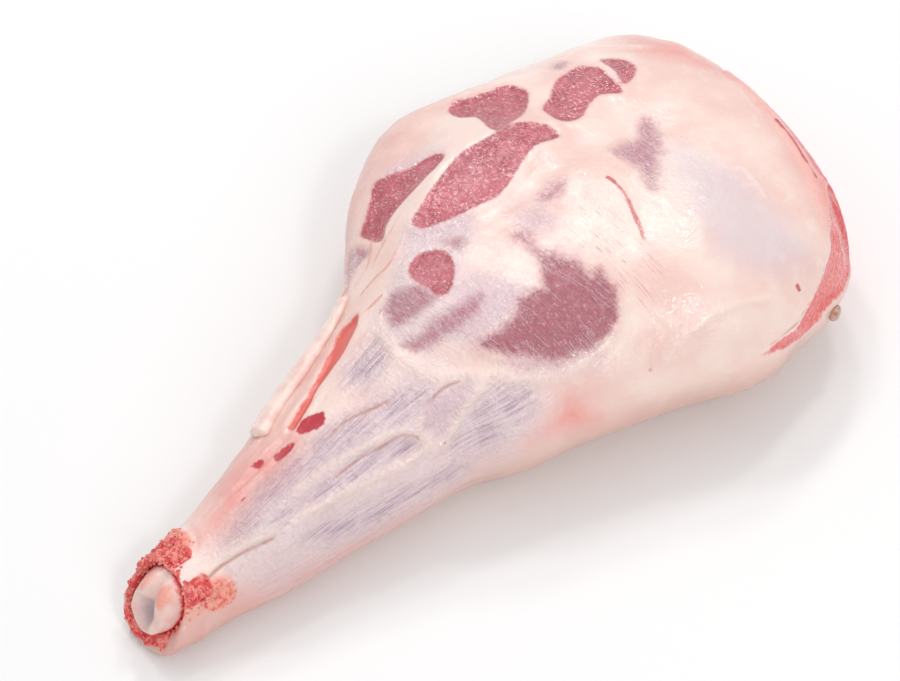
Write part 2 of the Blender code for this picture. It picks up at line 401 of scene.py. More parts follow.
PATCHES = (
    # Bare red muscle in the windows of the fat, on the upper thigh.
    Patch("red", 0.9, 1, (
        (258, -63), (265, -66), (271, -64), (281, -62), (286, -60), (287, -55), (283, -51), (275, -45),
        (265, -40), (256, -38), (259, -49), (260, -54), (257, -58))),
    Patch("red", 0.9, 1, (
        (284, -45), (292, -49), (301, -53), (311, -55), (317, -55), (320, -49), (319, -43), (318, -36),
        (315, -34), (308, -38), (300, -37), (292, -33), (286, -33), (282, -36), (282, -42))),
    Patch("red", 0.6, 0.8, (
        (326, -55), (332, -51), (334, -46), (332, -41), (326, -37), (320, -37), (323, -43))),
    Patch("red", 1.0, 1, (
        (198, -35), (206, -34), (221, -35), (236, -36), (248, -36), (256, -37), (265, -39), (271, -38),
        (276, -34), (277, -29), (274, -26), (265, -24), (258, -21), (248, -15), (242, -12), (232, -10),
        (224, -12), (214, -16), (205, -22), (198, -29))),
    Patch("red", 0.9, 1, (
        (188, -66), (194, -64), (203, -64), (208, -65), (213, -62), (219, -57), (227, -51), (232, -45),
        (232, -41), (226, -40), (220, -41), (213, -43), (206, -47), (200, -50), (194, -52), (188, -52),
        (187, -60))),
    Patch("red", 0.9, 1, (
        (179, -24), (185, -24), (191, -18), (194, -9), (192, -2), (186, 3), (180, 4), (176, 0), (176, -7),
        (176, -17))),
    # The big muscle of the knee's round.
    Patch("deep", 1.0, 0.8, (
        (174, 32), (184, 36), (194, 37), (200, 35), (208, 38), (210, 41), (216, 35), (220, 31), (225, 36),
        (228, 42), (231, 48), (236, 48), (234, 55), (229, 60), (223, 63), (214, 65), (206, 64), (194, 60),
        (184, 49), (178, 42))),
    # Muscle seen through thin silverskin.
    Patch("wine", 0.4, 0.7, ((310, -63), (315, -64), (314, -60), (308, -58))),
    Patch("wine", 0.4, 0.5, ((199, -14), (203, -10), (204, -6), (199, -5))),
    Patch("wine", 0.6, 0.8, (
        (174, -75), (182, -75), (183, -66), (183, -57), (178, -62), (172, -66), (166, -67))),
    Patch("wine", 0.6, 0.9, (
        (161, -26), (168, -27), (172, -18), (175, -9), (175, 0), (168, -2), (164, -4), (160, -6),
        (156, -12), (157, -18))),
    Patch("wine", 0.5, 0.7, (
        (153, -1), (161, 6), (169, 7), (176, 11), (183, 15), (189, 19), (184, 22), (177, 21), (168, 18),
        (160, 14), (154, 9))),
    Patch("wine", 0.4, 0.5, ((220, 13), (224, 19), (224, 27), (229, 41), (210, 40), (215, 34), (218, 27))),
    Patch("wine", 0.4, 0.5, (
        (286, -3), (294, -6), (302, -6), (307, -13), (314, -15), (314, -9), (310, 0), (298, 15), (286, 26),
        (285, 23), (288, 12), (288, 6))),
    Patch("wine", 0.4, 0.5, ((244, 6), (251, 2), (258, 2), (254, 9), (247, 11))),
    # Lavender silverskin.
    Patch("haze", 0.0, 0.5, ((213, -63), (227, -57), (235, -45), (228, -51), (218, -56))),
    Patch("haze", 0.2, 0.5, ((195, -33), (202, -23), (214, -14), (214, -11), (206, -12), (192, -30))),
    Patch("haze", 0.2, 0.5, (
        (180, 11), (193, 16), (201, 33), (196, 36), (182, 33), (174, 28), (170, 25), (172, 20))),
    Patch("haze", 0.2, 0.5, (
        (178, 43), (185, 49), (200, 60), (212, 65), (213, 69), (203, 67), (187, 61), (181, 53))),
    Patch("haze", 0.2, 0.5, ((227, 8), (238, 7), (240, 11), (240, 21), (234, 24), (226, 17))),
    Patch("lilac", 0.5, 0.6, (
        (132, -19), (142, -21), (149, -18), (149, -8), (146, 1), (139, 6), (131, 3), (128, -8))),
    Patch("lilac", 0.6, 0.8, (
        (128, 42), (134, 55), (128, 57), (108, 51), (90, 44), (65, 36), (64, 27), (85, 33), (105, 35))),
    Patch("lilac", 0.5, 0.6, (
        (72, 54), (103, 66), (121, 72), (140, 77), (148, 87), (129, 89), (110, 86), (91, 82))),
    Patch("haze", 0.5, 0.9, ((142, 38), (152, 37), (162, 41), (159, 46), (146, 57), (138, 48))),
    Patch("lilac", 0.5, 0.6, (
        (144, 62), (154, 54), (168, 52), (178, 58), (178, 66), (168, 72), (156, 78), (145, 74))),
    Patch("lilac", 0.1, 0.6, (
        (99, 3), (117, 12), (146, 26), (141, 36), (131, 36), (114, 28), (96, 21), (76, 15), (47, 18),
        (42, 12), (77, -3))),
    # The thin silverskin over the whole near side of the shank.
    Patch("veil", 0.0, 0.35, (
        (29, 20), (75, -5), (100, 4), (125, 10), (150, 10), (160, 24), (166, 44), (180, 58), (184, 74),
        (172, 88), (140, 98), (100, 100), (60, 97), (40, 72))),
    # The thin skin over the smaller heads of muscle at the knee.
    Patch("veil", 0.0, 0.6, (
        (152, -24), (163, -31), (178, -34), (196, -36), (208, -26), (216, -12), (206, 0), (196, 8),
        (202, 26), (206, 36), (190, 36), (176, 28), (160, 17), (151, 4))),
    # Short dark dashes of muscle between threads, above the knee's round.
    Patch("dashes", 0.0, 0.4, (
        (236, 30), (246, 22), (258, 16), (268, 20), (268, 32), (262, 46), (254, 60), (240, 64), (236, 52),
        (230, 42))),
    # The bluish sheen on the rump's dome: the bluish tone of thin fat over muscle, with a painted sheen.
    Patch("sheen", 0.0, 0.3, (
        (312, 11), (318, 25), (325, 42), (325, 53), (328, 63), (329, 69), (319, 70), (307, 69), (293, 63),
        (286, 56), (289, 44), (298, 24))),
    # Blushes of blood in the fat.
    Patch("blush", 0.0, 0.3, ((174, 84), (183, 77), (193, 74), (198, 78), (202, 89), (192, 86), (183, 84))),
    Patch("blush", 0.0, 0.3, (
        (80, -35), (90, -24), (100, -18), (99, -6), (82, 2), (67, 0), (45, 6), (32, 1), (29, -13),
        (56, -30))),
    Patch("blush", 0.0, 0.3, (
        (349, -56), (351, -47), (359, -39), (368, -24), (370, -33), (368, -45), (370, -58))),
    Patch("blush", -1.0, 0.3, (
        (372, -30), (371, 0), (367, 25), (361, 45), (354, 58), (348, 68), (352, 74), (364, 80), (372, 60),
        (378, 30), (380, 0), (380, -30))),
    # Fat that the blood has tinged, at the heel's side and the thigh's far edge; the same rose along the
    # shank's underside is painted shade.
    Patch("rose", 0.0, 0.3, (
        (60, -70), (60, -30), (90, -36), (120, -40), (140, -48), (162, -62), (166, -80), (120, -90),
        (80, -90))),
    Patch("rose", 0.0, 0.3, (
        (180, -90), (182, -72), (206, -68), (222, -66), (238, -62), (244, -68), (270, -72), (292, -74),
        (290, -90))),
    Patch("rose", 0.0, 0.3, ((30, 70), (50, 70), (86, 80), (118, 88), (124, 110), (60, 116), (30, 110))),
    Patch("rose", -0.8, 0.5, ((17, 66), (22, 80), (26, 100), (26, 130), (22, 150), (16, 150), (14, 110))),
    Patch("rose", 0.0, 0.3, ((340, -60), (352, -50), (364, -40), (372, -20), (374, -60), (360, -76))),
    # Bare muscle at the rump's cut end and beside the heel cord.
    Patch("bare", 1.6, 1, (
        (346, 75), (352, 70), (360, 66), (367, 64), (372, 70), (370, 80), (364, 88), (354, 90), (341, 88),
        (319, 87), (304, 84), (318, 81), (332, 78))),
    Patch("bare", 0.8, 0.8, ((278, 84), (291, 83), (307, 84), (326, 88), (309, 88), (287, 85))),
    Patch("cut", 0.5, 1, (
        (376, -60), (376, -30), (375, 0), (372, 30), (367, 50), (362, 70), (362, 95), (366, 120),
        (368, 150), (368, 180), (368, 210), (370, 240), (372, 270))),
    Patch("strip", 1.2, 1, (
        (156, -44), (152, -49), (146, -51), (137, -45), (126, -39), (119, -35), (108, -30), (100, -27),
        (101, -21), (109, -23), (120, -29), (129, -30), (136, -30), (145, -33), (152, -37))),
    # Grainy fat beside the hock.
    Patch("knob", -0.9, 0.8, (
        (20, 44), (25, 42), (30, 52), (34, 70), (32, 82), (25, 82), (19, 72), (18, 56))),
    Patch("knob", -1.6, 0.8, (
        (18, -64), (26, -62), (33, -54), (31, -42), (28, -27), (24, -12), (18, -10), (18, -30), (18, -50))),
    Patch("blood", 0.3, 1, (
        (100, -15), (104, -20), (109, -17), (113, -9), (111, -3), (107, -2), (102, -8))),
    Patch("blood", 0.3, 1, ((87, -18), (93, -15), (96, -12), (92, -8), (86, -12))),
    Patch("blood", 0.3, 1, ((77, -28), (80, -27), (83, -24), (79, -21))),
)

LINES = (
    # Pale tendons and the thicker edges of fat.
    Line("ridge", 0.9, 1.8, ((74, 21), (88, 24), (99, 27), (116, 34), (129, 40), (134, 50), (138, 62))),
    Line("ridge", 1.3, 2.4, (
        (54, 33), (76, 40), (95, 48), (114, 54), (126, 57), (134, 57), (142, 62), (148, 57), (158, 50),
        (168, 46))),
    Line("ridge", 0.8, 1.4, ((139, 60), (136, 45), (141, 42))),
    Line("ridge", 1.3, 2.4, ((18, 36), (24, 33), (33, 31), (47, 33), (58, 35), (66, 39))),
    # A crease under the ridge, drawn darker: painted shade.
    Line("crease", -0.8, 1.3, ((18, 43), (23, 38), (29, 36), (37, 36), (46, 37), (57, 40), (66, 43))),
    Line("ridge", 0.8, 3.2, (
        (164, -33), (155, -21), (150, -6), (150, 6), (151, 22), (156, 32), (166, 42), (174, 48), (179, 56),
        (186, 60), (194, 65), (203, 67), (214, 66), (226, 63))),
    Line("ridge", 0.7, 1.5, ((246, 75), (257, 72), (267, 70), (280, 70), (292, 72), (302, 75))),
    Line("ridge", 0.4, 1.0, ((323, 36), (328, 39), (327, 47), (325, 53))),
    Line("ridge", 1.2, 3.0, ((312, -62), (326, -67), (332, -66), (342, -59), (354, -52))),
    # Thin creases, drawn brownish and darker: painted shade.
    Line("crease", -0.9, 1.3, ((103, 6), (114, 9), (123, 14), (129, 18), (138, 22))),
    Line("crease", -0.6, 1.3, ((85, 34), (105, 36), (120, 40), (128, 42), (133, 48), (134, 55))),
    Line("crease", -0.6, 1.3, ((142, 38), (152, 36), (162, 40))),
    Line("crease", -0.5, 1.3, ((349, 75), (332, 77), (318, 80), (304, 82), (290, 82), (278, 83))),
    # Torn strands of fat between the thigh and the heel cord.
    Line("strand", 0.5, 1.3, ((158, -72), (168, -68), (178, -66), (188, -68))),
    Line("strand", 0.5, 1.3, ((164, -60), (174, -56), (184, -57), (190, -60))),
    Line("strand", 0.4, 1.3, ((160, -52), (170, -44), (178, -38), (190, -36))),
    Line("strand", 0.4, 1.3, ((172, -50), (182, -50), (192, -46), (204, -42))),
    Line("strand", 0.4, 1.3, ((150, -40), (160, -35), (168, -32))),
    # The reddish edge of the fat along the far side of the thigh.
    Line("strand", 0.3, 2.2, ((236, -75), (262, -80), (290, -82), (320, -82), (345, -72))),
    # Blood in a vein and along the rump's edge.
    Line("vein", 0.5, 2.2, ((272, 8), (273, 15), (272, 23), (269, 31), (265, 40), (261, 47))),
    Line("vein", 0.3, 2.2, ((368, 27), (366, 42), (362, 52), (360, 60))),
    Line("vein", 0.0, 2.2, ((313, 74), (313, 76))),
    Line("vein", 0.0, 2.2, ((229, 77), (229, 79))),
    Line("vein", 0.4, 2.2, ((142, 60), (142, 62))),
    Line("vein", 0.0, 2.2, ((62, -9), (62, -6))),
)

# How soft each kind's edge is, and how ragged, in millimetres either way of its outline.
EDGES = {
    "red": (0.8, 0.35), "deep": (2.0, 0.9), "wine": (2.6, 0.5), "lilac": (4.2, 0.5), "haze": (4.2, 0.5),
    "veil": (4.2, 0.5), "dashes": (3.0, 0.6), "sheen": (3.5, 0.3), "blush": (3.4, 0.4), "rose": (4.0, 0.5),
    "bare": (0.6, 0.35), "cut": (1.2, 0.7), "strip": (0.8, 0.4), "blood": (0.6, 0.5), "knob": (1.8, 0.8),
}
LINE_KINDS = ("ridge", "crease", "strand", "vein")


def draw_on_skin():
    """The lift of every skin point, in millimetres, and what the materials read: a number for each kind."""
    lift = np.zeros(len(SKIN))
    marks = {kind: np.full(len(SKIN), WIDEST_PATCH) for kind in EDGES}
    marks.update({kind: np.zeros(len(SKIN)) for kind in LINE_KINDS})
    for patch in PATCHES:
        distance = patch_distance(curve_over_skin(patch.outline, True, 8))
        lift -= patch.depth * step(0.6, -2.4, distance)
        lift += 0.45 * patch.depth * np.exp(-(((distance - 2.2) / 1.8) ** 2))
        marks[patch.kind] = np.minimum(marks[patch.kind], distance * patch.firmness)
    for line in LINES:
        distance, share = line_distance(curve_over_skin(line.path, False, 24), 6 * line.half_width)
        fade = 0.05 if line.kind == "vein" else 0.16
        ends = step(0, fade, share) * step(1, 1 - fade, share)
        strength = np.exp(-((distance / line.half_width) ** 2)) * ends
        lift += line.height * strength
        marks[line.kind] = np.maximum(marks[line.kind], strength)
    return lift, marks


skin_lift, skin_marks = draw_on_skin()


def uneven_lift():
    """Lumps of fat and fine wrinkles along the shank."""
    lumps = 0.7 * lattice_noise(SKIN, 24, SEED) + 0.35 * lattice_noise(SKIN, 9, SEED + 1)
    smooth_dome = step(262, 285, SKIN_REACH) * step(5, 25, SKIN_AROUND) * step(95, 80, SKIN_AROUND)
    lift = lumps * (1 - 0.7 * smooth_dome) + 0.12 * lattice_noise(SKIN, 3.5, SEED + 2)
    shank = step(165, 140, SKIN_REACH) * step(30, 50, SKIN_REACH)
    fan = np.stack([SKIN_REACH / 28, SKIN_AROUND / 5.5, 0 * SKIN_REACH], axis=-1)
    finer = np.stack([SKIN_REACH / 12, SKIN_AROUND / 2.2, 0 * SKIN_REACH], axis=-1)
    top = step(130, 100, np.abs(SKIN_AROUND))
    lift += shank * top * (0.45 * lattice_noise(fan, 1, SEED + 3) + 0.15 * lattice_noise(finer, 1, SEED + 4))
    return lift


# How far up the leg the torn, bloody tissue reaches, at stops about it.
TORN_AROUND = (-180, -80, -55, -35, -15, -3, 6, 20, 35, 52, 62, 72, 110, 180)
TORN_REACH = (17, 18, 21, 23, 23, 22, 18, 18, 21, 22, 18, 16, 15, 17)


def hock_amount():
    """How torn and grainy the skin is round the hock, 0 to 1."""
    ragged_end = eased(TORN_AROUND, TORN_REACH, SKIN_AROUND) + 1.6 * lattice_noise(SKIN, 4, SEED + 5)
    return step(1.0, -1.5, SKIN_REACH - ragged_end)


skin_marks["torn"] = hock_amount()
skin_lift += uneven_lift()
grains = lattice_noise(SKIN, 2.6, SEED + 6)
grainy = np.maximum(skin_marks["torn"], step(1.5, -1.5, skin_marks["knob"]))
skin_lift += grainy * (0.9 * np.abs(grains) + 0.8 * lattice_noise(SKIN, 6, SEED + 7))
# Painted shade: fat that faces sideways and down is drawn darker and pinker.
skin_marks["under"] = step(0.45, -0.35, SKIN_NORMAL[:, 2])


# ---------------------------------------------------------------- making the meshes


def closed_mesh(name, rows, first_tip, last_tip):
    """A closed mesh, in metres, of rows of points in millimetres, joined round, with a tip at each end."""
    rows = np.asarray(rows)
    count, around = rows.shape[:2]
    points = np.concatenate([rows.reshape(-1, 3), [first_tip, last_tip]]) * MM
    i, j = np.meshgrid(np.arange(count - 1), np.arange(around), indexing="ij")
    k = (j + 1) % around
    quads = np.stack([i * around + j, i * around + k, (i + 1) * around + k, (i + 1) * around + j], axis=-1)
    j = np.arange(around)
    k = (j + 1) % around
    base = (count - 1) * around
    first = np.stack([k, j, np.full(around, count * around)], axis=-1)
    last = np.stack([base + j, base + k, np.full(around, count * around + 1)], axis=-1)
    faces = [list(face) for part in (quads.reshape(-1, 4), first, last) for face in part.tolist()]
    mesh = bpy.data.meshes.new(name)
    mesh.from_pydata(points.tolist(), [], faces)
    mesh.update()
    bm = bmesh.new()
    bm.from_mesh(mesh)
    bmesh.ops.recalc_face_normals(bm, faces=bm.faces)
    if bm.calc_volume(signed=True) < 0:
        bmesh.ops.reverse_faces(bm, faces=bm.faces)
    bm.to_mesh(mesh)
    bm.free()
    mesh.shade_smooth()
    return mesh


def add_number(mesh, name, values):
    layer = mesh.attributes.new(name, "FLOAT", "POINT")
    layer.data.foreach_set("value", np.asarray(values, np.float32))


def add_vector(mesh, name, values):
    layer = mesh.attributes.new(name, "FLOAT_VECTOR", "POINT")
    layer.data.foreach_set("vector", np.asarray(values, np.float32).ravel())


# The grain's second number: a degree round the leg, as millimetres at the shank's girth.
MM_PER_DEGREE = 0.9


def add_bake_map(mesh, count, around):
    """A map that unrolls the rows and columns."""
    layer = mesh.uv_layers.new(name="OFBake")
    spots = np.empty((len(mesh.loops), 2), np.float32)
    corner = np.empty(len(mesh.loops), np.int64)
    mesh.loops.foreach_get("vertex_index", corner)
    start = 0
    for face in mesh.polygons:
        ids = corner[start : start + face.loop_total]
        row, column = ids // around, (ids % around).astype(float)
        tips = ids >= count * around
        if tips.any():
            row = np.where(ids == count * around, -1, np.where(ids == count * around + 1, count, row))
            across_seam = np.ptp(column[~tips]) >= 2
            column = np.where(tips, around - 0.5 if across_seam else column[~tips].mean(), column)
        if np.ptp(column) > around / 2:
            column = np.where(column < around / 2, column + around, column)
        spots[start : start + face.loop_total, 0] = (row + 1.5) / (count + 2)
        spots[start : start + face.loop_total, 1] = (column + 0.25) / (around + 1)
        start += face.loop_total
    layer.data.foreach_set("uv", spots.ravel())


def rim_numbers(values, everywhere_torn=False):
    """A number's values round the rim and in the socket, from the skin's first row; torn at the mouth."""
    edge = np.tile(values[:COLUMNS], (ROWS_RIM, 1))
    if everywhere_torn:
        by_column = np.stack([np.arange(COLUMNS), 0 * edge[0], 0 * edge[0]], axis=-1)
        ragged = 0.16 * lattice_noise(by_column, 9, SEED + 15)
        narrow = 0.3 * step(60, 90, SKIN_AROUND[:COLUMNS]) * step(170, 140, SKIN_AROUND[:COLUMNS])
        edge = np.maximum(edge, step(0.3, 0.5, RIM_PARTS[:, None] + ragged - narrow))
    socket = np.full((ROWS_SOCKET, COLUMNS), edge[-1])
    return edge, socket


def whole(values, everywhere_torn=False):
    """A number for every point of the meat's mesh: socket, rim, skin and the two tips."""
    edge, socket = rim_numbers(values, everywhere_torn)
    return np.concatenate([socket.ravel(), edge[::-1].ravel(), values, [0, 0]])


def build_meat():
    lifted = outer + outer_normal * skin_lift.reshape(outer.shape[:2])[..., None]
    lifted[..., 2] = np.maximum(lifted[..., 2], 0.05)
    inner = rim_and_socket(lifted[0])
    rows = np.concatenate([inner[::-1], lifted])
    blind_end = inner[-1].mean(axis=0)
    mesh = closed_mesh("lamb_meat", rows, blind_end, lifted[-1].mean(axis=0))
    for name, values in skin_marks.items():
        add_number(mesh, name, whole(values, name == "torn"))
    reach, around = measure_of(rows.reshape(-1, 3))
    grain = np.stack([reach, around * MM_PER_DEGREE, 0 * reach], axis=-1)
    add_vector(mesh, "grain", np.concatenate([grain, grain[:2]]))
    add_bake_map(mesh, len(rows), COLUMNS)
    return linked("lamb_meat", mesh)


# ---------------------------------------------------------------- finishes


def colour(red, green, blue):
    """A display colour of 0 to 255 as the shader's linear one."""
    shares = np.array([red, green, blue]) / 255
    linear = np.where(shares <= 0.04045, shares / 12.92, ((shares + 0.055) / 1.055) ** 2.4)
    return (*linear.tolist(), 1)


PALE_FAT = colour(250, 224, 214)
PINK_FAT = colour(243, 206, 197)
CREAM_FAT = colour(252, 234, 224)
# The painted shade of the fat's underside.
UNDERSIDE_SHADE = colour(214, 168, 154)
# A bluish white: the rump dome's painted sheen, and thin whitish silverskin and threads.
SHEEN_SKIN = colour(218, 204, 212)
LILAC_SKIN = colour(166, 130, 156)
RIM_PINK = colour(222, 158, 160)
SILVER_SKIN = colour(240, 216, 222)
HAZE_SKIN = colour(220, 186, 200)
WINE_MUSCLE = colour(188, 106, 124)
RED_MUSCLE = colour(202, 86, 100)
RED_DARK = colour(178, 54, 72)
DEEP_MUSCLE = colour(174, 90, 104)
BARE_MUSCLE = colour(240, 84, 84)
CUT_MUSCLE = colour(222, 70, 74)
STRIP_MUSCLE = colour(230, 106, 94)
BLOOD = colour(196, 44, 62)
BLUSH = colour(238, 138, 130)
# Painted shade in the creases.
CREASE_SHADE_BROWN = colour(204, 128, 110)
# Blood-tinged fat, and the painted shade on the shank's underside.
ROSE_FAT_AND_SHADE = colour(222, 156, 148)
STRAND_BROWN = colour(226, 158, 138)
FIBRE_PINK = colour(224, 130, 142)
# The white of fibres and threads, and of the painted glints on the muscle.
FIBRE_AND_GLINT_WHITE = colour(236, 206, 212)
TORN_RED = colour(226, 62, 64)
TORN_PINK = colour(248, 150, 138)
KNOB_ORANGE = colour(244, 164, 144)
KNOB_RED = colour(238, 102, 90)


class Nodes:
    """Adds nodes to one material and links them by plain values or sockets."""

    def __init__(self, name):
        self.material = bpy.data.materials.new(name)
        self.material.use_nodes = True
        self.tree = self.material.node_tree
        self.shader = self.tree.nodes["Principled BSDF"]

    def feed(self, socket, value):
        if isinstance(value, bpy.types.NodeSocket):
            self.tree.links.new(value, socket)
        else:
            socket.default_value = value

    def attribute(self, name):
        made = self.tree.nodes.new("ShaderNodeAttribute")
        made.attribute_name = name
        return made.outputs["Vector" if name == "grain" else "Fac"]

    def place(self):
        return self.tree.nodes.new("ShaderNodeTexCoord").outputs["Object"]

    def stretch(self, vector, scale, turn=0.0):
        made = self.tree.nodes.new("ShaderNodeMapping")
        self.feed(made.inputs["Vector"], vector)
        made.inputs["Scale"].default_value = scale
        made.inputs["Rotation"].default_value = (0, 0, turn)
        return made.outputs["Vector"]

    def noise(self, vector, scale, detail=3.0, roughness=0.55, distortion=0.0):
        made = self.tree.nodes.new("ShaderNodeTexNoise")
        self.feed(made.inputs["Vector"], vector)
        made.inputs["Scale"].default_value = scale
        made.inputs["Detail"].default_value = detail
        made.inputs["Roughness"].default_value = roughness
        made.inputs["Distortion"].default_value = distortion
        return made.outputs["Fac"]

    def maths(self, kind, a, b=0.0, c=0.0, clamp=False):
        made = self.tree.nodes.new("ShaderNodeMath")
        made.operation = kind
        made.use_clamp = clamp
        for socket, value in zip(made.inputs, (a, b, c)):
            self.feed(socket, value)
        return made.outputs["Value"]

    def plus(self, a, b, clamp=False):
        return self.maths("ADD", a, b, clamp=clamp)

    def times(self, a, b):
        return self.maths("MULTIPLY", a, b)

    def centred(self, noise, size=1.0):
        """A noise of 0 to 1, times size and with its middle moved to 0."""
        return self.maths("MULTIPLY_ADD", noise, size, -size / 2)

    def ramp(self, value, low, high, to_low=0.0, to_high=1.0):
        """A smooth rise from to_low at low to to_high at high."""
        made = self.tree.nodes.new("ShaderNodeMapRange")
        made.interpolation_type = "SMOOTHSTEP"
        for name, number in zip(("From Min", "From Max", "To Min", "To Max"), (low, high, to_low, to_high)):
            made.inputs[name].default_value = number
        self.feed(made.inputs["Value"], value)
        return made.outputs["Result"]

    def mix(self, share, a, b):
        made = self.tree.nodes.new("ShaderNodeMix")
        made.data_type = "RGBA"
        made.clamp_result = True
        colours = [socket for socket in made.inputs if socket.type == "RGBA"]
        factor = next(socket for socket in made.inputs if socket.name == "Factor" and socket.type == "VALUE")
        self.feed(factor, share)
        self.feed(colours[0], a)
        self.feed(colours[1], b)
        return next(socket for socket in made.outputs if socket.type == "RGBA")

    def crumple(self, height, distance):
        """Bumps the surface and its wet coat alike, by up to distance in millimetres."""
        made = self.tree.nodes.new("ShaderNodeBump")
        made.inputs["Strength"].default_value = 1.0
        made.inputs["Distance"].default_value = distance * MM
        self.feed(made.inputs["Height"], height)
        self.feed(self.shader.inputs["Normal"], made.outputs["Normal"])
        self.feed(self.shader.inputs["Coat Normal"], made.outputs["Normal"])

    def constants(self, values):
        for name, value in values.items():
            self.shader.inputs[name].default_value = value

    def flesh(self, depth, radius=(1.0, 0.45, 0.35)):
        """Lets a little light into the surface, to a depth in millimetres."""
        scale = depth * MM
        self.constants({"Subsurface Weight": 0.15, "Subsurface Radius": radius, "Subsurface Scale": scale})


# How each drawn line shows: its colour, the strengths at which it starts and is whole, its most, and the
# least share that a noise leaves of it.
LINE_LOOKS = {
    # Creases are drawn darker: painted shade.
    "crease": (CREASE_SHADE_BROWN, 0.5, 0.95, 0.65, 0.7),
    "strand": (STRAND_BROWN, 0.35, 0.85, 0.7, 0.5),
    "vein": (BLOOD, 0.58, 0.84, 0.8, 0.75),
}


def meat_noises(n):
    """The noises that the meat's looks share: by place, and along and across its grain."""
    place = n.place()
    grain = n.attribute("grain")
    # Painted glints: small white flecks along the grain, drawn into the muscles' colour.
    glint_flecks = n.noise(n.stretch(grain, (1.1, 0.55, 1), 0.4), 1.0, 2, 0.6, 1.2)
    return SimpleNamespace(
        place=place,
        broad=n.noise(place, 28, 3),
        patchy=n.noise(place, 95, 4),
        fine=n.noise(place, 520, 3, 0.6),
        along=n.noise(n.stretch(grain, (0.06, 0.75, 1)), 1.0, 3, 0.6, 0.4),
        along_fine=n.noise(n.stretch(grain, (0.16, 2.1, 1)), 1.0, 2, 0.6, 0.5),
        across=n.noise(n.stretch(grain, (0.8, 0.07, 1), 0.2), 1.0, 3, 0.6, 0.6),
        across_fine=n.noise(n.stretch(grain, (1.9, 0.16, 1), 0.2), 1.0, 2, 0.6, 0.6),
        # Painted glints.
        glint_flecks=n.ramp(glint_flecks, 0.58, 0.68, 0, 0.8),
    )


def meat_masks(n, noises):
    """Where each kind shows, 0 to 1: its distance, made ragged by two noises."""

    def mask(kind, soft, ragged):
        wander = n.plus(n.centred(noises.fine, 5 * ragged), n.centred(noises.patchy, 6 * ragged))
        return n.ramp(n.plus(n.attribute(kind), wander), soft, -soft)

    shown = {kind: mask(kind, soft, ragged) for kind, (soft, ragged) in EDGES.items()}
    return SimpleNamespace(**shown, red_rim=mask("red", 3.0, 0.5), deep_rim=mask("deep", 6.0, 0.9))


def fat_colour(n, noises):
    fat = n.mix(n.ramp(noises.broad, 0.38, 0.66), PALE_FAT, PINK_FAT)
    fat = n.mix(n.ramp(noises.patchy, 0.52, 0.72, 0, 0.45), fat, CREAM_FAT)
    fat = n.mix(n.ramp(noises.fine, 0.5, 0.8, 0, 0.22), fat, PINK_FAT)
    # Painted shade on the fat's underside.
    return n.mix(n.times(n.attribute("under"), 0.75), fat, UNDERSIDE_SHADE)


def skins_over(n, look, noises, shown):
    """Tinged fat and silverskin, laid over a colour."""
    silver = n.mix(n.ramp(noises.along, 0.3, 0.68), LILAC_SKIN, SILVER_SKIN)
    silver = n.mix(n.ramp(noises.patchy, 0.42, 0.66, 0, 0.6), silver, SILVER_SKIN)
    silver = n.mix(n.ramp(noises.fine, 0.55, 0.75, 0, 0.35), silver, SHEEN_SKIN)
    # The dome's patch: a painted sheen over the bluish tone of thin fat.
    look = n.mix(n.times(shown.sheen, 0.62), look, SHEEN_SKIN)
    # Rose fat: tinged with blood, and painted shade on the shank's underside.
    look = n.mix(n.times(shown.rose, n.ramp(noises.patchy, 0.3, 0.7, 0.5, 0.85)), look, ROSE_FAT_AND_SHADE)
    look = n.mix(n.times(shown.veil, n.ramp(noises.along, 0.2, 0.8, 0.8, 0.45)), look, SILVER_SKIN)
    look = n.mix(n.times(shown.haze, n.ramp(noises.across_fine, 0.35, 0.65, 0.85, 0.35)), look, HAZE_SKIN)
    look = n.mix(n.times(shown.lilac, n.ramp(noises.along, 0.2, 0.8, 0.95, 0.75)), look, silver)
    return n.mix(n.times(shown.blush, n.ramp(noises.patchy, 0.3, 0.7, 0.45, 0.9)), look, BLUSH)


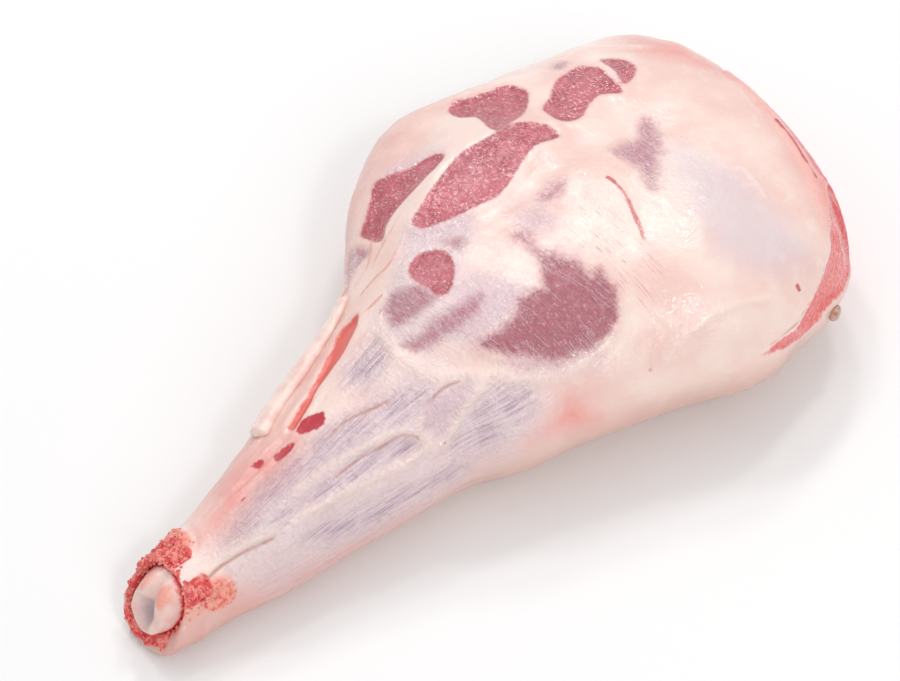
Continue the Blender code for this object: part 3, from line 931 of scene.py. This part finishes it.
def muscles_over(n, look, noises, shown):
    """Every kind of muscle and the blood, laid over a colour."""
    hairs = n.ramp(n.maths("ABSOLUTE", n.centred(noises.across_fine)), 0.035, 0.0)
    hairs = n.times(hairs, n.ramp(noises.patchy, 0.38, 0.62, 0.05, 0.8))
    streaky = n.mix(n.ramp(noises.across, 0.45, 0.72, 0, 0.45), WINE_MUSCLE, SHEEN_SKIN)
    # White fibre hairs, and painted glints.
    streaky = n.mix(n.maths("MAXIMUM", hairs, noises.glint_flecks), streaky, FIBRE_AND_GLINT_WHITE)
    look = n.mix(n.times(shown.wine, 0.92), look, streaky)
    dashes = n.times(shown.dashes, n.ramp(noises.across_fine, 0.58, 0.68, 0, 0.65))
    look = n.mix(dashes, look, WINE_MUSCLE)

    muscle = n.mix(n.ramp(noises.patchy, 0.38, 0.62), RED_MUSCLE, RED_DARK)
    muscle = n.mix(n.ramp(noises.along_fine, 0.5, 0.66, 0, 0.5), muscle, FIBRE_PINK)
    # Painted glints on the red muscle.
    muscle = n.mix(noises.glint_flecks, muscle, FIBRE_AND_GLINT_WHITE)
    look = n.mix(n.times(shown.red_rim, 0.5), look, RIM_PINK)
    look = n.mix(shown.red, look, muscle)

    deep = n.mix(n.ramp(noises.across, 0.5, 0.68, 0, 0.7), DEEP_MUSCLE, WINE_MUSCLE)
    deep = n.mix(n.ramp(noises.across_fine, 0.54, 0.68, 0, 0.5), deep, FIBRE_PINK)
    # Painted glints, half as strong, on the deep muscle.
    deep = n.mix(n.times(noises.glint_flecks, 0.5), deep, FIBRE_AND_GLINT_WHITE)
    deep = n.mix(n.times(hairs, n.ramp(n.attribute("deep"), -7, -1.5, 0.1, 1)), deep, FIBRE_AND_GLINT_WHITE)
    look = n.mix(n.times(shown.deep_rim, 0.55), look, streaky)
    look = n.mix(shown.deep, look, deep)

    bare = n.mix(n.ramp(noises.fine, 0.42, 0.7, 0, 0.7), BARE_MUSCLE, BLUSH)
    look = n.mix(shown.bare, look, bare)
    seams = n.maths("ABSOLUTE", n.centred(n.noise(noises.place, 38, 2, 0.5, 0.9)))
    cut_face = n.mix(n.ramp(noises.fine, 0.4, 0.65), CUT_MUSCLE, BARE_MUSCLE)
    cut_face = n.mix(n.ramp(seams, 0.02, 0.006, 0, 0.4), cut_face, PINK_FAT)
    look = n.mix(shown.cut, look, cut_face)
    look = n.mix(shown.strip, look, STRIP_MUSCLE)
    return n.mix(shown.blood, look, BLOOD)


def lines_over(n, look, noises, _shown):
    """Tendons, creases, strands and veins, laid over a colour."""
    tendons = n.times(n.attribute("ridge"), n.ramp(noises.fine, 0.3, 0.6, 0.5, 0.85))
    look = n.mix(tendons, look, PALE_FAT)
    for kind, (tint, starts, is_whole, most, least) in LINE_LOOKS.items():
        broken = n.times(n.attribute(kind), n.ramp(noises.patchy, 0.3, 0.6, least, 1))
        look = n.mix(n.ramp(broken, starts, is_whole, 0, most), look, tint)
    return look


def torn_over(n, look, noises, shown):
    """Grainy fat and the hock's torn tissue, laid over a colour."""
    grainy_fat = n.mix(n.ramp(noises.fine, 0.45, 0.62), KNOB_ORANGE, KNOB_RED)
    look = n.mix(shown.knob, look, grainy_fat)
    tissue = n.mix(n.ramp(n.noise(noises.place, 260, 3), 0.4, 0.62), TORN_RED, TORN_PINK)
    torn = n.plus(n.attribute("torn"), n.centred(noises.fine, 0.8))
    return n.mix(n.ramp(torn, 0.3, 0.6), look, tissue)


def wet_and_crumpled(n, noises, shown):
    """The meat's wetness and bumps: silverskin wrinkles along the grain, and muscle is threaded across it."""
    skins = n.plus(n.plus(shown.lilac, shown.haze), n.times(shown.veil, 0.8), clamp=True)
    muscles = n.plus(shown.red, n.plus(shown.deep, n.plus(shown.wine, shown.bare)), clamp=True)
    wet = n.plus(muscles, skins, clamp=True)
    rough = n.maths("MULTIPLY_ADD", wet, -0.12, n.ramp(noises.patchy, 0.3, 0.7, 0.44, 0.34))
    n.feed(n.shader.inputs["Roughness"], rough)
    n.feed(n.shader.inputs["Coat Weight"], n.ramp(wet, 0, 1, 0.35, 1))

    wrinkles = n.plus(n.centred(noises.along_fine, 0.9), n.centred(noises.along, 0.7))
    wrinkles = n.times(wrinkles, n.ramp(skins, 0, 1, 0.15, 0.9))
    threads = n.times(n.centred(noises.across_fine, 0.9), n.plus(shown.deep, shown.wine, clamp=True))
    grainy = n.centred(n.noise(n.stretch(noises.place, (1, 0.75, 1)), 430, 2, 0.55, 0.8))
    grainy = n.times(grainy, n.maths("MULTIPLY_ADD", wet, 1.9, 0.35))
    rolling = n.centred(n.noise(noises.place, 230, 2))
    rolls = n.plus(n.times(rolling, n.ramp(wet, 0, 1, 0.5, 1.3)), n.times(noises.fine, 0.3))
    n.crumple(n.plus(n.plus(wrinkles, threads), n.plus(grainy, rolls)), 0.5)


def meat_finish():
    """Fat, silverskin, muscle and blood, each where the skin's numbers put it."""
    n = Nodes("lamb_meat")
    noises = meat_noises(n)
    shown = meat_masks(n, noises)
    look = fat_colour(n, noises)
    for layer in (skins_over, muscles_over, lines_over, torn_over):
        look = layer(n, look, noises, shown)
    n.feed(n.shader.inputs["Base Color"], look)
    wet_and_crumpled(n, noises, shown)
    n.flesh(2.0)
    n.constants({"Coat Roughness": 0.06, "Coat IOR": 1.7, "Specular IOR Level": 0.5})
    return n.material


TAG_TAN = colour(214, 176, 156)
TAG_BROWN = colour(176, 128, 112)
BONE_PALE = colour(240, 208, 200)
BONE_PINK = colour(242, 166, 150)
BONE_GREY_SHADE = colour(206, 180, 184)


def bone_finish():
    """Pinkish bone, red where it was torn, with a greyish glaze of cartilage in its hollow whose grey is
    partly painted shade.
    """
    n = Nodes("lamb_bone")
    place = n.place()
    broad = n.noise(place, 160, 3)
    fine = n.noise(place, 700, 3)
    crown = n.plus(n.attribute("crown"), n.centred(broad, 2.0))
    look = n.mix(n.ramp(crown, -0.3, 1.0), BONE_PALE, BONE_PINK)
    glaze = n.ramp(n.maths("MULTIPLY_ADD", fine, 0.4, n.attribute("hollow")), 0.2, 1.2)
    # The hollow is drawn greyer: the cartilage's glaze with painted shade.
    look = n.mix(glaze, look, BONE_GREY_SHADE)
    rim = n.ramp(n.maths("MULTIPLY_ADD", fine, 0.6, n.attribute("rim")), 0.75, 1.1)
    n.feed(n.shader.inputs["Base Color"], n.mix(rim, look, TORN_RED))
    n.feed(n.shader.inputs["Roughness"], n.ramp(glaze, 0, 1, 0.4, 0.28))
    n.crumple(n.plus(fine, broad), 0.3)
    n.flesh(1.5, (1.0, 0.6, 0.5))
    n.constants({"Coat Weight": 0.4, "Coat Roughness": 0.18})
    return n.material


def plain_finish(name, first, second, scale, wetness):
    """A mottle of two colours with a fine grain, for the small pieces."""
    n = Nodes(name)
    place = n.place()
    mottle = n.noise(place, scale, 3)
    n.feed(n.shader.inputs["Base Color"], n.mix(n.ramp(mottle, 0.4, 0.62), first, second))
    n.feed(n.shader.inputs["Roughness"], n.ramp(mottle, 0.3, 0.7, 0.42, 0.28))
    n.crumple(n.noise(place, 900, 2), 0.3)
    n.flesh(1.5)
    n.constants({"Coat Weight": wetness, "Coat Roughness": 0.18})
    return n.material


# ---------------------------------------------------------------- small things spread over the skin


FULL_TURNS = (6.3, 6.3, 6.3)
LUMP_SCALE = 900.0
WANDER_SCALE = 130.0


class Growth:
    """A geometry tree with named inputs, that spreads things over a surface."""

    def __init__(self, name, sizes):
        self.tree = bpy.data.node_groups.new(name, "GeometryNodeTree")
        self.tree.interface.new_socket("Geometry", in_out="INPUT", socket_type="NodeSocketGeometry")
        self.tree.interface.new_socket("Geometry", in_out="OUTPUT", socket_type="NodeSocketGeometry")
        self.sizes = sizes
        for size in sizes:
            self.tree.interface.new_socket(size, in_out="INPUT", socket_type="NodeSocketFloat")
        self.entry = self.tree.nodes.new("NodeGroupInput")
        self.exit = self.tree.nodes.new("NodeGroupOutput")

    def given(self, name):
        return self.entry.outputs[name]

    def node(self, kind, feeds, **settings):
        """A node with its inputs, by name or number, fed by values or sockets."""
        made = self.tree.nodes.new(kind)
        for name, value in settings.items():
            setattr(made, name, value)
        for name, value in feeds.items():
            if isinstance(value, bpy.types.NodeSocket):
                self.tree.links.new(value, made.inputs[name])
            else:
                made.inputs[name].default_value = value
        return made

    def put(self, kind, feeds, **settings):
        """The first output of a new node."""
        return self.node(kind, feeds, **settings).outputs[0]

    def named(self, name, kind="FLOAT"):
        return self.put("GeometryNodeInputNamedAttribute", {"Name": name}, data_type=kind)

    def numbers(self, kind, a, b):
        return self.put("ShaderNodeMath", {0: a, 1: b}, operation=kind)

    def random(self, low, high, seed):
        feeds = {2: low, 3: high, "Seed": seed}
        return self.node("FunctionNodeRandomValue", feeds, data_type="FLOAT").outputs[1]

    def wander(self, scale, amount):
        """A vector of noise by place, centred on nothing."""
        at = self.put("GeometryNodeInputPosition", {})
        noise = self.node("ShaderNodeTexNoise", {"Vector": at, "Scale": scale, "Detail": 1.0})
        feeds = {0: noise.outputs["Color"], 1: (0.5, 0.5, 0.5)}
        centred = self.put("ShaderNodeVectorMath", feeds, operation="SUBTRACT")
        return self.put("ShaderNodeVectorMath", {0: centred, "Scale": amount}, operation="SCALE")

    def sown(self, seed):
        """Points over the surface, as dense as its sown number says."""
        density = self.numbers("MULTIPLY", self.named("sown"), self.given("Density"))
        feeds = {"Mesh": self.given("Geometry"), "Density": density, "Seed": seed}
        return self.node("GeometryNodeDistributePointsOnFaces", feeds, distribute_method="RANDOM")

    def finish(self, geometry, material):
        smooth = self.put("GeometryNodeSetShadeSmooth", {"Geometry": geometry})
        last = self.put("GeometryNodeSetMaterial", {"Geometry": smooth, "Material": material})
        self.tree.links.new(last, self.exit.inputs[0])

    def grown_on(self, ground, sown, name):
        """The finished mesh of what grows on a copy of the ground, with no modifier left."""
        soil = ground.data.copy()
        add_number(soil, "sown", sown)
        host = linked(name + "_soil", soil)
        growth = host.modifiers.new("growth", "NODES")
        growth.node_group = self.tree
        for item in self.tree.interface.items_tree:
            if item.item_type == "SOCKET" and item.in_out == "INPUT" and item.name in self.sizes:
                growth[item.identifier] = float(self.sizes[item.name])
        made = bpy.data.meshes.new_from_object(host.evaluated_get(bpy.context.evaluated_depsgraph_get()))
        bpy.data.objects.remove(host)
        made.name = name
        return linked(name, made)


def grain_growth(name, sizes, material, seed):
    """Little wet grains of torn tissue, half sunk in the surface."""
    g = Growth(name, sizes)
    points = g.sown(seed)
    grain = g.put("GeometryNodeMeshIcoSphere", {"Radius": 1.0, "Subdivisions": 2})
    size = g.random(g.given("Smallest"), g.given("Largest"), seed + 1)
    long = g.numbers("MULTIPLY", size, g.random(0.9, 1.6, seed + 2))
    scale = g.put("ShaderNodeCombineXYZ", {"X": long, "Y": size, "Z": size})
    feeds = {0: (0, 0, 0), 1: FULL_TURNS, "Seed": seed + 3}
    spin = g.put("FunctionNodeRandomValue", feeds, data_type="FLOAT_VECTOR")
    feeds = {"Points": points.outputs[0], "Instance": grain, "Rotation": spin, "Scale": scale}
    grains = g.put("GeometryNodeInstanceOnPoints", feeds)
    grains = g.put("GeometryNodeRealizeInstances", {"Geometry": grains})
    lumpy = g.wander(LUMP_SCALE, g.given("Lumps"))
    grains = g.put("GeometryNodeSetPosition", {"Geometry": grains, "Offset": lumpy})
    g.finish(grains, material)
    return g


def thread_growth(name, sizes, material, seed):
    """Fine white threads that lie on the surface and follow its thread direction."""
    g = Growth(name, sizes)
    points = g.sown(seed)
    ends = {"Start": (-0.5, 0.0, 0.0), "End": (0.5, 0.0, 0.0)}
    thread = g.put("GeometryNodeCurvePrimitiveLine", ends)
    thread = g.put("GeometryNodeResampleCurve", {"Curve": thread, "Count": 9})
    length = g.random(g.given("Shortest"), g.given("Longest"), seed + 1)
    scale = g.put("ShaderNodeCombineXYZ", {"X": length, "Y": 1.0, "Z": 1.0})
    feeds = {"Vector": g.named("thread_way", "FLOAT_VECTOR")}
    way = g.put("FunctionNodeAlignRotationToVector", feeds, axis="X")
    feeds = {"Points": points.outputs[0], "Instance": thread, "Rotation": way, "Scale": scale}
    threads = g.put("GeometryNodeInstanceOnPoints", feeds)
    threads = g.put("GeometryNodeRealizeInstances", {"Geometry": threads})
    wander = g.wander(WANDER_SCALE, g.given("Wander"))
    threads = g.put("GeometryNodeSetPosition", {"Geometry": threads, "Offset": wander})
    near = g.put("GeometryNodeProximity", {0: g.given("Geometry")}, target_element="FACES")
    threads = g.put("GeometryNodeSetPosition", {"Geometry": threads, "Position": near})
    feeds = {"Resolution": 4, "Radius": g.given("Thickness")}
    profile = g.put("GeometryNodeCurvePrimitiveCircle", feeds)
    feeds = {0: threads, "Profile Curve": profile, "Fill Caps": True}
    threads = g.put("GeometryNodeCurveToMesh", feeds)
    g.finish(threads, material)
    return g


# ---------------------------------------------------------------- the pieces


def sown_over(values, everywhere_torn=False):
    """Values of the skin's points, given to every point of the meat's mesh, with none inside the socket."""
    sown = whole(values, everywhere_torn)
    sown[: (ROWS_SOCKET - 1) * COLUMNS] = 0
    return sown


# Swells and hollows of the knuckle's end: millimetres deep, towards the -Y side, up, and their two spreads.
KNUCKLE_RELIEF = (
    (2.4, -6.5, 6.5, 4.2, 4.5), (2.8, 5.0, 6.0, 5.6, 5.0), (-1.6, -0.4, 8.0, 2.2, 4.0),
    (-3.2, 0.6, -3.0, 6.0, 6.5), (1.8, 5.5, -6.5, 2.0, 5.0), (1.0, -8.5, -5.0, 1.8, 4.0),
)
KNUCKLE_MIDDLE = 2.0
END_WAY = np.array([-0.86, 0.0, 0.51])


def knuckle_relief(points):
    """How far the knuckle's end stands out at points, in millimetres."""
    across = BONE_CORE[0][1] - points[:, 1]
    up = points[:, 2] - BONE_CORE[0][2] - KNUCKLE_MIDDLE
    relief = np.zeros(len(points))
    for height, y, z, wide, tall in KNUCKLE_RELIEF:
        relief += height * np.exp(-(((across - y) / wide) ** 2) - ((up - z) / tall) ** 2)
    return relief


def build_bone():
    """The shank bone with its knuckle: the CAD's, smoothed, and a little uneven."""
    mesh = smooth_copy("shank_bone", 3)
    mesh.name = "lamb_bone"
    points = np.array([v.co for v in mesh.vertices]) / MM
    normals = np.array([v.normal for v in mesh.vertices])
    lumps = 0.45 * lattice_noise(points, 5, SEED + 8) + 0.2 * lattice_noise(points, 2, SEED + 9)
    reach = measure_of(points)[0]
    front = step(40, 10, reach)
    relief = knuckle_relief(points) * step(13, 6, reach)
    moved = points + normals * (lumps * front * 0.6 - 0.15)[:, None] + END_WAY * relief[:, None]
    mesh.vertices.foreach_set("co", (moved * MM).ravel())
    off = np.linalg.norm((points - core_at(reach, BONE_CORE))[:, 1:], axis=1)
    add_number(mesh, "hollow", step(1.2, -3.4, relief) * step(15.0, 8.0, off))
    add_number(mesh, "crown", step(0.8, 2.4, relief) * step(2.0, 8.0, points[:, 2] - BONE_CORE[0][2]))
    add_number(mesh, "rim", step(11.0, 13.5, off) * step(4.0, 8.0, reach))
    mesh.materials.clear()
    mesh.materials.append(bone_finish())
    mesh.shade_smooth()
    made = linked("lamb_bone", mesh)
    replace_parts(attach(made, "root"), "shank_bone")


def normal_near(points):
    return np.array([SKIN_NORMAL[np.argmin(((SKIN - point) ** 2).sum(axis=1))] for point in points])


CORD_PATH = ((167, -67), (158, -66), (148, -63), (131, -57), (113, -53), (100, -50), (90, -48))
CORD_HALF_WIDTH = 4.9
CORD_HALF_HEIGHT = 2.7


def build_heel_cord():
    """The heel's tendon in its fat: a flat round cord over the skin, cut off bluntly near the hock."""
    line = curve_over_skin(CORD_PATH, False, 16)
    out = normal_near(line)
    out = relaxed_line(out)
    along = np.gradient(line, axis=0)
    along /= np.linalg.norm(along, axis=1, keepdims=True)
    side = np.cross(along, out)
    t = np.linspace(0, 1, len(line))
    blunt = np.sqrt(np.clip(1 - ((t - 0.955) / 0.045).clip(0, 1) ** 2, 0.02, 1))
    taper = step(0, 0.10, t) * 0.85 + 0.15
    width = CORD_HALF_WIDTH * (0.8 + 0.35 * t) * blunt * taper
    height = CORD_HALF_HEIGHT * (0.8 + 0.35 * t) * blunt * taper
    lift = 0.6 - 2.2 * step(0.12, 0, t)
    turn = np.linspace(0, 2 * np.pi, 28, endpoint=False)
    centre = line + out * lift[:, None]
    rows = centre[:, None] + side[:, None] * (width[:, None] * np.cos(turn))[..., None]
    rows = rows + out[:, None] * (height[:, None] * np.sin(turn))[..., None]
    flat = rows.reshape(-1, 3)
    away = rows - centre[:, None]
    lumps = 0.10 * lattice_noise(flat, 6, SEED + 10) + 0.05 * lattice_noise(flat, 2.5, SEED + 11)
    rows = rows + away * lumps.reshape(away.shape[:2])[..., None]
    mesh = closed_mesh("heel_cord", rows, centre[0], centre[-1] + along[-1] * 0.4)
    mesh.materials.append(plain_finish("cord_fat", PALE_FAT, PINK_FAT, 120, 0.3))
    return linked("heel_cord", mesh)


def relaxed_line(values):
    for _ in range(6):
        values[1:-1] = (values[2:] + values[:-2]) / 4 + values[1:-1] / 2
    return values / np.linalg.norm(values, axis=1, keepdims=True)


# The tag's place, and its half sizes out of the skin, along it and up it.
TAG_PLACE = (338.0, 93.0)
TAG_OUT = 2.2
TAG_ALONG = 3.4
TAG_UP = 5.0
TAG_LIFT = 1.0


def build_tag():
    """A small brownish tag of dried fat that hangs at the rump's lower edge."""
    middle = skin_at(TAG_PLACE[0], TAG_PLACE[1]).reshape(3)
    out = normal_near([middle])[0]
    along = np.cross(out, (0, 0, 1))
    along /= np.linalg.norm(along)
    up = np.cross(along, out)
    polar = np.linspace(0, np.pi, 18)[1:-1]
    turn = np.linspace(0, 2 * np.pi, 24, endpoint=False)
    ring = np.sin(polar)[:, None, None]
    round_it = np.cos(turn)[:, None] * out * TAG_OUT + np.sin(turn)[:, None] * along * TAG_ALONG
    rows = middle + out * TAG_LIFT + ring * round_it + (np.cos(polar)[:, None] * up * TAG_UP)[:, None]
    noise = 0.9 * lattice_noise(rows.reshape(-1, 3), 3.5, SEED + 12).reshape(rows.shape[:2])
    rows = rows + (rows - middle) * 0.18 * noise[..., None]
    centre = middle + out * TAG_LIFT
    mesh = closed_mesh("rump_tag", rows, centre + up * TAG_UP, centre - up * TAG_UP)
    mesh.materials.append(plain_finish("tag_fat", TAG_TAN, TAG_BROWN, 300, 0.3))
    return linked("rump_tag", mesh)


meat = build_meat()
meat.data.materials.append(meat_finish())
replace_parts(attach(meat, "root"), "leg_meat")

build_bone()

thread_way = np.cross(SKIN_NORMAL, (-1.0, 0.0, 0.0))
thread_way += 0.25 * np.array([1.0, 0, 0])
thread_way /= np.linalg.norm(thread_way, axis=1, keepdims=True)
hidden = len(meat.data.vertices) - len(SKIN) - 2
add_vector(meat.data, "thread_way", np.concatenate([np.zeros((hidden, 3)), thread_way, np.zeros((2, 3))]))

in_deep = step(0.5, -1.5, skin_marks["deep"]) * step(-9, -2, skin_marks["deep"])
in_wine = step(0.5, -1.0, skin_marks["wine"]) * step(215, 235, SKIN_REACH)
threads = thread_growth(
    "thread_growth",
    {"Density": 4.0e4, "Shortest": 4 * MM, "Longest": 12 * MM, "Thickness": 0.10 * MM, "Wander": 2.0 * MM},
    plain_finish("thread_white", FIBRE_AND_GLINT_WHITE, SHEEN_SKIN, 200, 0.2),
    SEED + 20,
).grown_on(meat, sown_over(in_deep + 0.6 * in_wine), "muscle_threads")

red_grains = grain_growth(
    "red_grain_growth",
    {"Density": 4.5e5, "Smallest": 0.25 * MM, "Largest": 0.85 * MM, "Lumps": 1.6 * MM},
    plain_finish("torn_grains", TORN_RED, TORN_PINK, 420, 0.9),
    SEED + 30,
).grown_on(meat, sown_over(skin_marks["torn"], True), "hock_grains")

fat_grains = grain_growth(
    "fat_grain_growth",
    {"Density": 2.0e5, "Smallest": 0.2 * MM, "Largest": 0.7 * MM, "Lumps": 1.4 * MM},
    plain_finish("fat_grains", KNOB_ORANGE, KNOB_RED, 260, 0.5),
    SEED + 40,
).grown_on(meat, sown_over(step(1.5, -1.0, skin_marks["knob"])), "knob_grains")

heel_cord = build_heel_cord()
tag = build_tag()
for piece in (threads, red_grains, fat_grains, heel_cord, tag):
    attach(piece, "root")


# ---------------------------------------------------------------- floor, light and camera

FLOOR_SIZE = 6.0
CAMERA_AZIMUTH = -43.5
CAMERA_ELEVATION = 50.0
CAMERA_LENS = 110.0
CAMERA_DISTANCE = 1.2
CAMERA_TARGET = Vector((-0.0068, 0.0015, 0.0387))
FLOOR_PALE = colour(246, 246, 246)
SKY_STRENGTH = 0.56

# Each light: its name, azimuth, elevation, distance, size and power. The small ones make the wet glints.
LIGHTS = (
    ("overhead", 160, 70, 2.0, 1.6, 5), ("front", -20, 38, 2.4, 1.4, 10),
    ("glitter_0", 112, 58, 2.0, 0.26, 4), ("glitter_1", 140, 50, 2.0, 0.26, 4),
    ("glitter_2", 168, 60, 2.0, 0.26, 4), ("glitter_3", -12, 52, 2.0, 0.26, 4),
)


def build_floor():
    half = FLOOR_SIZE / 2
    mesh = bpy.data.meshes.new("floor")
    corners = [(-half, -half, 0), (half, -half, 0), (half, half, 0), (-half, half, 0)]
    mesh.from_pydata(corners, [], [(0, 1, 2, 3)])
    n = Nodes("floor")
    n.constants({"Base Color": FLOOR_PALE, "Roughness": 0.9})
    mesh.materials.append(n.material)
    linked("floor", mesh)


def view_way(azimuth, elevation):
    """The unit direction from the object to a camera at that azimuth and elevation."""
    a, e = math.radians(azimuth), math.radians(elevation)
    return Vector((math.sin(a) * math.cos(e), -math.cos(a) * math.cos(e), math.sin(e)))


def soft_light(name, azimuth, elevation, distance, size, power):
    light = bpy.data.lights.new(name, "AREA")
    light.shape = "DISK"
    light.size = size
    light.energy = power
    made = linked(name, light)
    way = view_way(azimuth, elevation)
    made.location = way * distance
    made.rotation_euler = way.to_track_quat("Z", "Y").to_euler()


def build_camera():
    lens = bpy.data.cameras.new("camera")
    lens.lens = CAMERA_LENS
    made = linked("camera", lens)
    way = view_way(CAMERA_AZIMUTH, CAMERA_ELEVATION)
    made.location = CAMERA_TARGET + way * CAMERA_DISTANCE
    made.rotation_euler = way.to_track_quat("Z", "Y").to_euler()
    bpy.context.scene.camera = made


def build_world():
    world = bpy.data.worlds.new("studio")
    world.use_nodes = True
    sky = world.node_tree.nodes["Background"]
    sky.inputs["Color"].default_value = (1, 1, 1, 1)
    sky.inputs["Strength"].default_value = SKY_STRENGTH
    bpy.context.scene.world = world


build_floor()
build_world()
for light in LIGHTS:
    soft_light(*light)
build_camera()
bpy.context.scene.view_settings.view_transform = "Standard"
